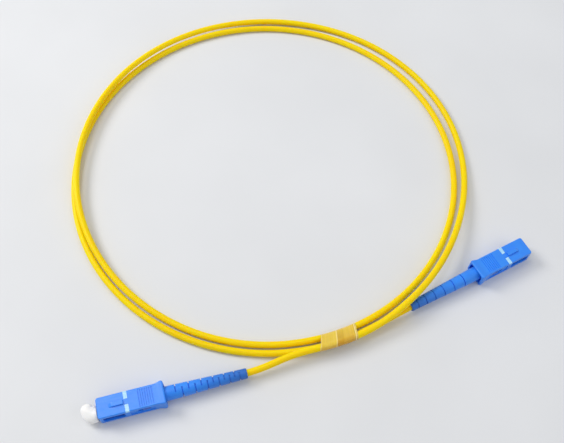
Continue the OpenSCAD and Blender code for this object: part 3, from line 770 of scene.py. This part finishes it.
def housing_cutters():
    """What is cut from the grip: cavity, rear bore, mouth, windows, recesses, beds of the marks, grooves."""
    past_x, past_y, past_z = 15.5, 9, 9
    cavity_x1, bore_x0, bore_r, bore_sides, mouth_x0 = 9.6, 9.5, 3.45, 64, 12.2
    cutters = [prism(rounded(7.2, 6.0, 0.25, (0, AXIS_Z)), -past_x, cavity_x1, "x"),
               loft([hoop(x, bore_r, bore_sides) for x in (bore_x0, past_x - 0.1)]),
               prism(rounded(8.1, 6.35, 1.2, (0, 3.975)), mouth_x0, past_x, "x"),
               prism(rounded(9.0, 4.2, 0.45, (-7.9, AXIS_Z)), -past_y, past_y, "y"),
               prism(rounded(5.4, 2.0, 0.3, (4.5, AXIS_Z)), -past_y, past_y, "y")]
    recess_y0, recess_y1, bed_z = 4.15, 7, HOUSING_H - 0.12
    for s in (-1, 1):
        recess = rounded(10.4, 4.4, 0.5, (4.1, AXIS_Z))
        cutters.append(prism(recess, *sorted((s * recess_y0, s * recess_y1)), "y"))
        cutters.append(prism(rounded(1.7, 3.2, 0.08, (-1.95, s * 2.5)), bed_z, past_z, "z"))
    flank = [(0.23, 0.2), (0.19, -0.1), (0.11, -RIB_DEPTH)]
    for i in range(RIB_COUNT):
        x = RIB_X - RIB_PITCH * i
        groove = [(x - half, HOUSING_H + rise) for half, rise in flank]
        groove += [(x + half, HOUSING_H + rise) for half, rise in reversed(flank)]
        cutters.append(prism(groove, -RIB_HALF_L, RIB_HALF_L, "y"))
        cutters.append(prism([(u, HOUSING_H - v) for u, v in groove], -RIB_HALF_L, RIB_HALF_L, "y"))
    return cutters


def housing_form():
    """The sliding grip in plug A's place."""
    shell = loft([[(x, y, z) for y, z in rounded(2 * half, high - low, corner, (0, (high + low) / 2))]
                  for x, half, low, high, corner in housing_rings()], "housing")
    return carve(carve(shell, [key_form()], "UNION"), housing_cutters())


# ---------------------------------------------------------------- boots

BOOT_ROOT_R, BOOT_TAIL_R = 3.1, 2.25
CONE_X0, CONE_L = REAR_X + 3, 29.8
SLIT_COUNT, SLIT_W, SLIT_X0, SLIT_PITCH = 12, 0.5, 18.5, 2.93
SLIT_CLOSING = 0.077                            # how much shorter each pitch is than the one before
SLIT_SHADE_DEPTH = 0.12                               # a face this far inside a slit gets the painted shade
BOOT_ROLL = {"a": 5, "b": -110}


def boot_radius(x):
    return BOOT_ROOT_R - (BOOT_ROOT_R - BOOT_TAIL_R) * min(1, max(0, (x - CONE_X0) / CONE_L))


def slit_cutter(x, roll, core):
    """A little over half a ring outside the core radius, on the side that roll turns to."""
    reach, lap = 4.4, 0.8
    inner, outer = math.acos(-lap / core), math.acos(-lap / reach)
    turn = math.radians(roll)
    loop = [(y * math.cos(turn) - z * math.sin(turn), AXIS_Z + y * math.sin(turn) + z * math.cos(turn))
            for y, z in arc(core, -inner, inner, 24) + arc(reach, outer, -outer, 16)]
    return prism(loop, x, x + SLIT_W, "x")


def boot_form(roll):
    """Tapered strain relief with slits on alternate sides, and shade painted on the faces deep inside the
    slits.
    """
    sides, cone_steps = 64, 24
    core_r, core_taper = 2.3, 0.46
    slits_from, slits_to = 18, 48.5
    profile = [(BOOT_X0, 2.5), (BOOT_X0, 3.0), (BOOT_X0 + 0.1, BOOT_ROOT_R)]
    cone = [CONE_X0 + CONE_L * k / cone_steps for k in range(cone_steps + 1)]
    profile += [(x, boot_radius(x)) for x in cone]
    profile += [(49.2, BOOT_TAIL_R), (49.42, 2.2), (49.55, 2.08), (BOOT_TAIL_X, 1.92), (BOOT_TAIL_X, 1.68),
                (49.45, 1.62), (20, 1.62), (JACKET_X0, 2.1), (16.5, 2.1), (16.5, 2.49), (BOOT_X0, 2.49)]
    verts = [p for x, r in profile for p in hoop(x, r, sides)]
    mesh = mended(mesh_from("boot", verts, ring_faces(len(profile), sides, closed=True)))
    cutters = []
    for i in range(SLIT_COUNT):
        x = SLIT_X0 + SLIT_PITCH * i - SLIT_CLOSING / 2 * i * i
        core = core_r - core_taper * (x - REAR_X) / (BOOT_TAIL_X - REAR_X)
        cutters.append(slit_cutter(x, roll + 180 * (i % 2), core))
    mesh = carve(mesh, cutters)
    # Faces deep inside the slits take the second material, which paints the shade there.
    for face in mesh.polygons:
        x, y, z = face.center
        inside = math.hypot(y, z - AXIS_Z) < boot_radius(x) - SLIT_SHADE_DEPTH
        face.material_index = int(slits_from < x < slits_to and inside)
    # UV: u runs from the boot's root to its tail, for the painted shade that darkens the tail.
    layer = mesh.uv_layers.new(name="uv")
    for corner in mesh.loops:
        x, y, z = mesh.vertices[corner.vertex_index].co
        layer.data[corner.index].uv = ((x - BOOT_X0) / (BOOT_TAIL_X - BOOT_X0),
                                       0.5 + math.atan2(z - AXIS_Z, y) / (2 * math.pi))
    return mesh


# ---------------------------------------------------------------- plugs

def finished(mesh, name, material, body, end, node):
    """Puts a mesh made in plug A's place into the scene, in place of a CAD solid of its plug."""
    placed(mesh, end)
    smooth(mesh, 32)
    piece = new_object(name, mesh, material, body)
    evened(piece)
    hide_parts(node)
    return piece


HOUSING = housing_form()
for end in ("a", "b"):
    finished(HOUSING.copy(), "grip_shell_" + end, "housing_blue", "grip_" + end, end, "outer_housing_" + end)
    sleeve = finished(boot_form(BOOT_ROLL[end]), "boot_sleeve_" + end, "boot_blue", "cord_and_plugs", end,
                      "boot_" + end)
    # The second material paints the shade inside the slits.
    sleeve.data.materials.append(MATERIALS["boot_slit_painted_shade"])
    refined("plug_frame_" + end, "frame_blue", "cord_and_plugs")
    refined("ferrule_" + end, "zirconia", "ferrule_set_" + end)
    spring = refined("flange_spring_" + end, "spring_steel", "ferrule_set_" + end, 70)
    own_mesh(spring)


def make_marks(end):
    """Two printed strips across the top of the housing, each carried over the edge and a little way down."""
    x0, x1, inner_y, flat_y, low_z = -2.76, -1.14, 1.2, 4.06, 6.5
    face_z, back_z = HOUSING_H - 0.02, HOUSING_H - 0.11
    arc_y, arc_z = HALF_W - EDGE_R, HOUSING_H - EDGE_R
    out, sunk = 0.014, 0.06
    turns = [math.radians(a) for a in (84, 66, 48, 30, 12, 0)]

    def over_edge(radius):
        return [(arc_y + radius * math.cos(t), arc_z + radius * math.sin(t)) for t in turns]

    line = [(inner_y, back_z), (inner_y, face_z), (flat_y, face_z), *over_edge(EDGE_R + out),
            (HALF_W + out, low_z), (HALF_W - sunk, low_z), *reversed(over_edge(EDGE_R - sunk)),
            (flat_y, back_z)]
    for side, where in ((-1, "near_painted_shade"), (1, "far")):
        strip = placed(prism([(side * y, z) for y, z in line], x0, x1, "x"), end)
        piece = new_object("mark_%s_%s" % (end, where), strip, "mark_white", "grip_" + end)
        rounding = piece.modifiers.new("rounding", "BEVEL")
        rounding.width = 0.02 * MM
        rounding.segments = 2


make_marks("a")
make_marks("b")


# ---------------------------------------------------------------- dust cap

CAP_SIDES, CAP_FACE_X = 48, -14.5
CAP_TUBE_R, CAP_TAPER = 2.1, 0.4                # the tube narrows by the taper where the head starts


def cap_head():
    """Soft head that bends over from a short tube: a bent finger with slack sides and a rounded end."""
    head_r, bend_r, offset, bend = 2.8, 4.3, 1.4, math.radians(68)
    root_end, web_l, elbow_l, slack_l = 28, 1.05, 0.8, 0.09
    bend_steps, end_steps = 18, 12
    centre, up = Vector((CAP_FACE_X, bend_r - offset, AXIS_Z)), Vector((0, 0, 1))
    stations = [(bend * i / bend_steps, 0, head_r) for i in range(bend_steps + 1)]
    for i in range(1, end_steps + 1):
        t = math.radians(90 * i / end_steps)
        stations.append((bend, head_r * math.sin(t), head_r * math.cos(t)))
    verts = []
    for turned, on, r in stations:
        out = Vector((-math.sin(turned), -math.cos(turned), 0))
        along = Vector((-math.cos(turned), math.sin(turned), 0))
        root = 1 - ramp(math.degrees(turned), 0, root_end)
        web = 0 if on else web_l * math.sin(math.pi * turned / bend)
        inside = root * (CAP_TUBE_R - CAP_TAPER - head_r + offset) + web
        elbow = elbow_l * math.sin(math.pi * (turned / bend) ** 0.8)
        for k in range(CAP_SIDES):
            t = 2 * math.pi * k / CAP_SIDES
            q = Vector((math.cos(t), math.sin(t)))
            slack = slack_l * noise.noise(Vector((q.x * 1.2, q.y * 1.2, 3 * turned + 0.3 * on)))
            p = centre + bend_r * out + on * along + (r + slack * min(1, r)) * (q.x * out + q.y * up)
            p += (elbow * max(0, q.x) ** 2 - inside * max(0, -q.x) ** 2) * out
            p.x = min(p.x, CAP_FACE_X)
            verts.append(p * MM)
    faces = ring_faces(len(stations), CAP_SIDES) + end_faces(len(stations), CAP_SIDES)
    return mended(mesh_from("cap", verts, faces), weld=0.001 * MM)


def cap_tube():
    """The tube round the ferrule: an open bore, a rounded rim, a low bead and a taper into the head."""
    ring, bore, x1, bead = CAP_TUBE_R, 1.3, -7.7, 0.12
    profile = [(CAP_FACE_X, bore), (x1 - 0.2, bore), (x1 - 0.06, bore + 0.06), (x1, bore + 0.3),
               (x1, ring - 0.3), (x1 - 0.08, ring - 0.08), (x1 - 0.3, ring), (-10.4, ring),
               (-10.6, ring + bead), (-11.0, ring + bead), (-11.2, ring), (-12.8, ring),
               (CAP_FACE_X - 0.1, ring - CAP_TAPER)]
    verts = [Vector(p) * MM for x, r in profile for p in hoop(x, r, CAP_SIDES)]
    return mesh_from("cap_tube", verts, ring_faces(len(profile), CAP_SIDES))


def cap_piece(name, mesh):
    smooth(mesh, 50)
    return new_object(name, mesh, "cap_white", "cap_a")


head = cap_piece("cap_head", cap_head())
cap_piece("cap_tube", cap_tube())
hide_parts("dust_cap_a")


# ---------------------------------------------------------------- finishes of the solids that stay

for row in frame["record"]["subparts"]:
    used = SOLIDS[row["node"]].data.materials
    if not used:
        used.append(None)
    for i in range(len(used)):
        used[i] = MATERIALS[row["material_slot"]]


# ---------------------------------------------------------------- floor and light

def make_stage():
    """A pale floor, in metres, a hair below the object."""
    half, drop = 3, 0.00002
    s = Shader("floor_pale")
    slow = s.grain(9)
    fine = s.grain(900, detail=2)
    colour = s.drift(slow, srgb(224, 225, 227), srgb(230, 231, 233))
    s.surface(colour, 0.75, s.bump(fine, 0.01, 0.3), **{"Specular IOR Level": 0.2})
    mesh = mesh_from("floor", [(-half, -half, 0), (half, -half, 0), (half, half, 0), (-half, half, 0)],
                     [(0, 1, 2, 3)])
    mesh.materials.append(s.material)
    floor = bpy.data.objects.new("floor", mesh)
    floor.location = (0, 0, -drop)
    bpy.context.scene.collection.objects.link(floor)


def area(name, place, target, size, level, colour=(1, 1, 1)):
    """A soft lamp; level is the share of full white that it alone gives to the floor at its target."""
    data = bpy.data.lights.new(name, "AREA")
    data.shape = "DISK"
    data.size = size
    away = Vector(target) - Vector(place)
    data.energy = level * math.pi ** 2 * away.length ** 3 / abs(away.z)
    data.color = colour
    lamp = bpy.data.objects.new(name, data)
    lamp.location = place
    lamp.rotation_mode = "QUATERNION"
    lamp.rotation_quaternion = away.to_track_quat("-Z", "Y")
    bpy.context.scene.collection.objects.link(lamp)


def make_room(light, strength, seen_colour):
    """A world that lights the object with one colour and is seen, reflected and refracted in another."""
    world = bpy.data.worlds.new("studio")
    bpy.context.scene.world = world
    world.use_nodes = True
    tree = world.node_tree
    lighting = tree.nodes["Background"]
    lighting.inputs["Color"].default_value = light
    lighting.inputs["Strength"].default_value = strength
    seen = tree.nodes.new("ShaderNodeBackground")
    seen.inputs["Color"].default_value = seen_colour
    rays = tree.nodes.new("ShaderNodeLightPath").outputs
    total = rays["Is Camera Ray"]
    for name in ("Is Glossy Ray", "Is Transmission Ray"):
        more = tree.nodes.new("ShaderNodeMath")
        more.operation = "MAXIMUM"
        tree.links.new(total, more.inputs[0])
        tree.links.new(rays[name], more.inputs[1])
        total = more.outputs[0]
    choice = tree.nodes.new("ShaderNodeMixShader")
    tree.links.new(total, choice.inputs[0])
    tree.links.new(lighting.outputs[0], choice.inputs[1])
    tree.links.new(seen.outputs[0], choice.inputs[2])
    tree.links.new(choice.outputs[0], tree.nodes["World Output"].inputs["Surface"])


def make_light():
    """Key from far left, a lamp over plug A's end, a weak fill, and a pale room."""
    centre = (0.085, 0.1, 0)
    area("key", (-0.62, 0.62, 0.75), centre, 0.5, 0.32, (1, 0.985, 0.96))
    area("top", (-0.15, 0.40, 1.15), centre, 0.55, 0.17)
    area("fill", (0.75, -0.35, 0.7), centre, 0.8, 0.085, (0.97, 0.98, 1))
    make_room((0.95, 0.97, 1, 1), 0.48, rgba(230, 231, 233))


make_stage()
make_light()
bpy.context.scene.view_settings.view_transform = "Standard"
